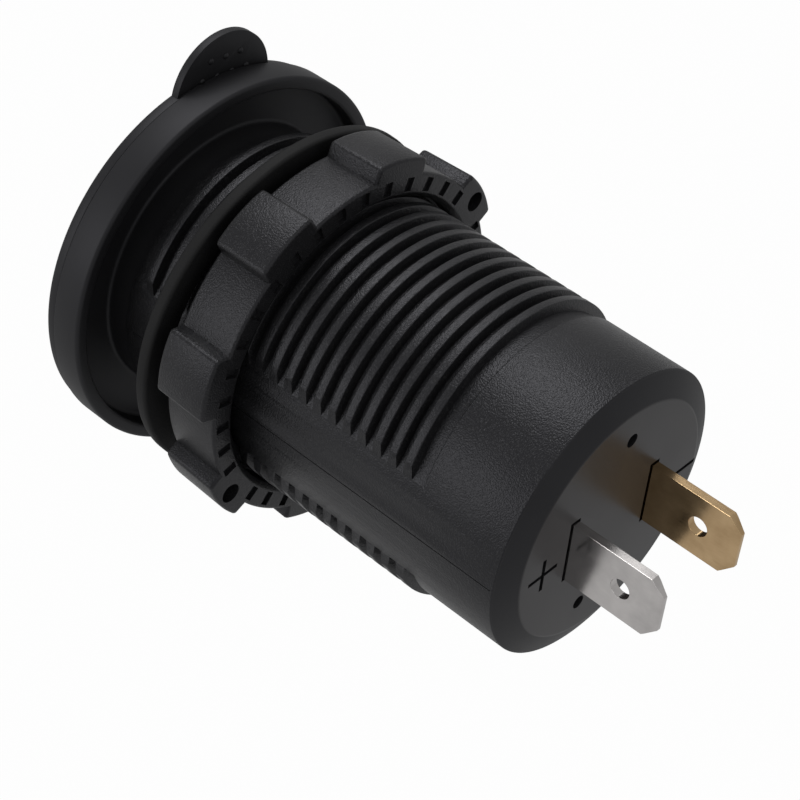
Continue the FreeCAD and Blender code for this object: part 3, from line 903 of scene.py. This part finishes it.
# %% Washer
WASHER_INNER = 14.65
WASHER_OUTER = 17.5
WASHER_FRONT = 6.2
WASHER_REAR = 7.5
WASHER_TILT = 3.0
washer = turned("washer", [
    (WASHER_INNER, WASHER_FRONT, 0.3),
    (WASHER_OUTER, WASHER_FRONT, 0.35),
    (WASHER_OUTER, WASHER_REAR, 0.35),
    (WASHER_INNER, WASHER_REAR, 0.3),
])
washer_middle = place(0, (WASHER_FRONT + WASHER_REAR) / 2, 0)
edit(washer)
bpy.ops.transform.rotate(value=math.radians(WASHER_TILT), orient_axis="X", center_override=washer_middle)
leave_edit()
top = max(washer.data.vertices, key=lambda vertex: vertex.co.z)
print("washer top at y", round(top.co.y / MM, 2))
dress(washer, washer_rubber, "washer", "sealing_washer")

# %% [markdown]
# ## Ring nut
# The nut is a ring with eight grip lobes. The ring is turned, a little wider towards the rear so that it
# leaves its mould, and both ends of its bore flare so that it starts easily on the thread.

# %% Nut ring
NUT_FRONT = 9.6
NUT_REAR = 15.6
NUT_BORE = 14.6
NUT_LEAD = 0.5
NUT_LOW = 16.82
NUT_DRAFT = 0.2
nut = turned("ring_nut", [
    (NUT_BORE + NUT_LEAD, NUT_FRONT, 0.1),
    (NUT_LOW, NUT_FRONT, 0.3),
    (NUT_LOW + NUT_DRAFT, NUT_REAR, 0.3),
    (NUT_BORE + NUT_LEAD, NUT_REAR, 0.1),
    (NUT_BORE, NUT_REAR - NUT_LEAD, 0),
    (NUT_BORE, NUT_FRONT + NUT_LEAD, 0),
])
print(nut.name, len(nut.data.polygons), "faces")

# %% [markdown]
# One lobe is a section spun through a few degrees, closed at both ends, pinched towards its top so that its
# sides have draft, and bevelled. An Array modifier about an empty could repeat it. Turned copies need no
# helper object, so they are used here.

# %% Nut lobes
NUT_HIGH = 18.3
LOBE_FOOT = 15.6
LOBE_INSET = 0.02
LOBE_STEPS = 16
LOBE_BASE_ANGLE = 12.0
LOBE_TOP_HALF = 3.05
LOBE_COUNT = 8
LOBE_FIRST = 15.0
base_angle = math.radians(LOBE_BASE_ANGLE)
lobe = draw_section("lobe", [
    (LOBE_FOOT, NUT_FRONT + LOBE_INSET, 0),
    (NUT_HIGH, NUT_FRONT + LOBE_INSET, 0),
    (NUT_HIGH + NUT_DRAFT, NUT_REAR - LOBE_INSET, 0),
    (LOBE_FOOT, NUT_REAR - LOBE_INSET, 0),
], closed=True)
swing(-LOBE_BASE_ANGLE)
bpy.ops.mesh.spin(steps=LOBE_STEPS, angle=2 * base_angle, center=(0, 0, 0), axis=(0, 1, 0))
close_ends()
pick("VERT", lambda spot: math.hypot(spot.x, spot.z) > NUT_LOW)
pinch = LOBE_TOP_HALF / (NUT_HIGH * math.sin(base_angle))
bpy.ops.transform.resize(value=(1, 1, pinch), center_override=(0, 0, 0))
leave_edit()
soften(lobe, 0.32, 3, above=50)
lobes = copies(lobe, [LOBE_FIRST + number * 360 / LOBE_COUNT for number in range(LOBE_COUNT)])
boolean(nut, join(lobes), "UNION")
print(nut.name, len(nut.data.polygons), "faces with its lobes")

# %% [markdown]
# Two of the lobes are lugs with a hole for a spanner's pins, and the rear face is serrated all round, except
# at the lugs.

# %% Lug holes and serrations
LUG_ANGLES = (150.0, 330.0)
LUG_HOLE_RADIUS = 0.962
LUG_HOLE_REACH = 17.088
LUG_HOLE_DEPTH = 3
SERRATIONS = 36
SERRATION_REACH = (15.27, 16.62)
SERRATION_HALF = 0.45
SERRATION_DEPTH = 0.35
hole_start = (LUG_HOLE_REACH, NUT_REAR - LUG_HOLE_DEPTH, 0)
lug_hole = rod("lug_hole", LUG_HOLE_RADIUS, hole_start, LUG_HOLE_DEPTH + OVERSHOOT, "Y", 48)
boolean(nut, join(copies(lug_hole, LUG_ANGLES)), "DIFFERENCE")
serration_run = (NUT_REAR - SERRATION_DEPTH, NUT_REAR + OVERSHOOT)
serration = block("serration", SERRATION_REACH, serration_run, across(0, SERRATION_HALF))
serration_angles = [number * 360 / SERRATIONS for number in range(SERRATIONS)]
serration_angles = [angle for angle in serration_angles if angle not in LUG_ANGLES]
boolean(nut, join(copies(serration, serration_angles)), "DIFFERENCE")
print(nut.name, "with", len(LUG_ANGLES), "lug holes and", len(serration_angles), "serrations")

# %% [markdown]
# A ridge inside the bore runs in the barrel's groove. It is swept like the barrel's own ridge, a little more
# than one turn, and its ends are filled.

# %% Inner ridge
INNER_CREST_RADIUS = 13.95
INNER_FOOT_HALF = 0.477
INNER_CREST_HALF = 0.2
INNER_SUNK = 0.25
INNER_START = 12.325
INNER_TURNS = 1.071
INNER_STEPS = 140
inner_ridge = helix("inner_ridge", [
    (NUT_BORE + INNER_SUNK, -INNER_FOOT_HALF, 0),
    (INNER_CREST_RADIUS, -INNER_CREST_HALF, 0.1),
    (INNER_CREST_RADIUS, INNER_CREST_HALF, 0.1),
    (NUT_BORE + INNER_SUNK, INNER_FOOT_HALF, 0),
], INNER_START, INNER_TURNS, INNER_STEPS)
edit(inner_ridge)
close_ends()
leave_edit()
boolean(nut, inner_ridge, "UNION")
dress(nut, moulded_black, "nut", "mounting_nut")

# %% [markdown]
# ## Blade terminals
# A blade is stamped from strip 0.8 mm thick: the corners of its tip are cropped, the tip is coined thinner so
# that it slides in easily, and a hole is pierced for a locking dimple. A box is shaped step by step: bevel
# for the corners, bisect and resize for the coined tip, and extrude towards the front for the shoulder and
# the tail. It is shaded smooth only below a few degrees, so that its flat sides stay flat.

# %% Blades
BLADE_TIP = 54.4
BLADE_HALF = 3.15
BLADE_THICK = 0.8
TIP_CROP = 1.3
COIN_LENGTH = 1.0
COIN_SHARE = 0.5
SHOULDER_HALF = 4.2
SHOULDER_LENGTH = 1.2
TAIL_HALF = 1.8
TAIL_LENGTH = 4.0
HOLE_Y = 50.4
HOLE_RADIUS = 0.95
HOLE_CUT = 4.0
FLAT_BELOW = 8


def blade(name, x):
    piece = block(name, across(x, BLADE_THICK / 2), (REAR_INNER, BLADE_TIP), across(0, BLADE_HALF))
    edit(piece)
    pick("EDGE", lambda spot: near(spot.y, BLADE_TIP) and near(abs(spot.z), BLADE_HALF))
    bpy.ops.mesh.bevel(offset=TIP_CROP * MM, segments=1, affect="EDGES")
    slice_at((0, BLADE_TIP - COIN_LENGTH, 0), (0, 1, 0), drop=False)
    pick("VERT", lambda spot: near(spot.y, BLADE_TIP))
    bpy.ops.transform.resize(value=(COIN_SHARE, 1, 1), center_override=place(x, 0, 0))
    pick("FACE", lambda spot: near(spot.y, REAR_INNER))
    steps = ((SHOULDER_HALF / BLADE_HALF, SHOULDER_LENGTH), (TAIL_HALF / SHOULDER_HALF, TAIL_LENGTH))
    for widen, length in steps:
        bpy.ops.mesh.extrude_region_move(TRANSFORM_OT_translate={"value": (0, 0, 0)})
        bpy.ops.transform.resize(value=(1, 1, widen), center_override=place(x, 0, 0))
        bpy.ops.mesh.extrude_region_move(TRANSFORM_OT_translate={"value": place(0, -length, 0)})
    close_up(merge=MERGE_REACH / 4)
    leave_edit()
    cut_start = (x - HOLE_CUT / 2, HOLE_Y, 0)
    boolean(piece, rod("hole", HOLE_RADIUS, cut_start, HOLE_CUT, "X", 56), "DIFFERENCE")
    return soften(piece, 0.07, 2, above=25)


bright = blade("bright_blade", BLADE_X)
dress(bright, tinned_blade, "socket", "positive_terminal", smooth=FLAT_BELOW)
yellow = blade("yellow_blade", -BLADE_X)
dress(yellow, brass_blade, "socket", "negative_terminal", smooth=FLAT_BELOW)

# %% [markdown]
# ## Finishes for the solids that stay
# The pieces inside keep their solids. Each is given the finish of its material.

# %% Dress the solids
solids_in = {
    plated_steel: ("cap_hinge_pin", "usb_shell_upper", "usb_shell_lower"),
    face_black: ("face_panel",),
    insulator_white: ("usb_insulator_upper", "usb_insulator_lower", "chip_capacitors"),
    contact_gold: ("usb_contacts_upper", "usb_contacts_lower"),
    clear_plastic: ("light_pipe",),
    led_body: ("indicator_led",),
    board_green: ("charger_board",),
    ferrite: ("power_inductor",),
    can_aluminium: ("input_capacitor", "output_capacitor"),
    chip_black: ("converter_chip", "port_control_chip", "rectifier_diode", "input_fuse", "chip_resistors"),
}
for finish, solids in solids_in.items():
    for solid in solids:
        put_on(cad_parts[solid], finish)
print(sum(len(solids) for solids in solids_in.values()), "solids dressed")

# %% [markdown]
# ## Floor
# The object is shown on plain white. The floor lies well below, so that the open cap clears it. It is a pale
# matt surface. The camera sees it as nearly white, so that only a trace of the shadow stays, and metal sees
# it a little paler than it is.

# %% Floor
FLOOR_Z = -68.0
FLOOR_SIZE = 4.0
CAMERA_WHITE = 0.98
MIRROR_WHITE = 0.24
deselect_all()
bpy.ops.mesh.primitive_plane_add(size=FLOOR_SIZE, location=place(0, 0, FLOOR_Z))
floor = bpy.context.object
floor.name = "floor"
pale = Finish("pale_floor", Base_Color=grey(0.45), Roughness=0.8)
from_camera, from_gloss, from_glass = (
    pale.node("ShaderNodeLightPath", output=ray)
    for ray in ("Is Camera Ray", "Is Glossy Ray", "Is Transmission Ray")
)
white_share = from_camera * CAMERA_WHITE + (from_gloss + from_glass) * MIRROR_WHITE
white = pale.node("ShaderNodeEmission", {}, {"Strength": 1.0})
pale.show(pale.node("ShaderNodeMixShader", {}, {0: white_share, 1: pale.surface, 2: white}))
put_on(floor, pale)
print("floor at z", FLOOR_Z)

# %% [markdown]
# ## Light
# Black plastic shows its form by what it reflects. An even surround lights every side, a key softbox in front
# and above draws the highlight along the barrel, and three weaker ones pick out the flange's rim, the rear
# face and the upper edges of the blades.

# %% Surround and softboxes
SURROUND_LEVEL = 0.4
world = bpy.data.worlds.new("studio")
bpy.context.scene.world = world
world.use_nodes = True
studio = Nodes(world.node_tree, "ShaderNodeOutputWorld")
from_camera = studio.node("ShaderNodeLightPath", output="Is Camera Ray")
level = SURROUND_LEVEL + from_camera * (1.0 - SURROUND_LEVEL)
studio.show(studio.node("ShaderNodeBackground", {}, {"Color": grey(1.0), "Strength": level}))


def softbox(name, spot, aim, size, watts):
    deselect_all()
    bpy.ops.object.light_add(type="AREA", location=place(*spot))
    lamp = bpy.context.object
    lamp.name = name
    lamp.data.shape = "SQUARE"
    lamp.data.size = size * MM
    lamp.data.energy = watts
    lamp.rotation_euler = (Vector(place(*aim)) - lamp.location).to_track_quat("-Z", "Y").to_euler()
    print(name, "at", spot)


softbox("key_softbox", (-55, -165, 400), (0, 20, 0), 200, 0.55)
softbox("left_softbox", (350, -170, 110), (0, 10, 0), 220, 0.3)
softbox("rear_softbox", (60, 380, 300), (0, 30, 0), 220, 0.14)
softbox("top_softbox", (-230, -170, 310), (0, 30, 0), 140, 0.08)

# %% [markdown]
# ## Camera
# The camera looks at the rear of the socket from above, with a long lens and a slight roll, as in a catalogue
# picture.

# %% Camera
CAMERA_AZIMUTH = 129.651
CAMERA_ELEVATION = 41.881
CAMERA_ROLL = 5.570
CAMERA_DISTANCE = 191.033
CAMERA_TARGET = Vector((-1.693, 20.0, -4.581))
LENS_MM = 96.047
SENSOR_MM = 36.0
NEAREST = 0.01
azimuth, elevation, roll = map(math.radians, (CAMERA_AZIMUTH, CAMERA_ELEVATION, CAMERA_ROLL))
back = Vector((
    math.sin(azimuth) * math.cos(elevation), -math.cos(azimuth) * math.cos(elevation), math.sin(elevation)
))
level_right = Vector((math.cos(azimuth), math.sin(azimuth), 0))
level_up = back.cross(level_right)
right = level_right * math.cos(roll) + level_up * math.sin(roll)
up = level_up * math.cos(roll) - level_right * math.sin(roll)
deselect_all()
bpy.ops.object.camera_add()
camera = bpy.context.object
stand = (CAMERA_TARGET + back * CAMERA_DISTANCE) * MM
turn = Matrix((right, up, back)).transposed().to_4x4()
camera.matrix_world = Matrix.Translation(stand) @ turn
camera.data.lens = LENS_MM
camera.data.sensor_width = SENSOR_MM
camera.data.clip_start = NEAREST
bpy.context.scene.camera = camera
bpy.context.scene.view_settings.view_transform = "Standard"
print("camera at", [round(value / MM, 1) for value in stand])

# %% [markdown]
# ## Last cell
# Dressing must not change the object's size. The last cell leaves nothing selected.

# %% Last cell
deselect_all()
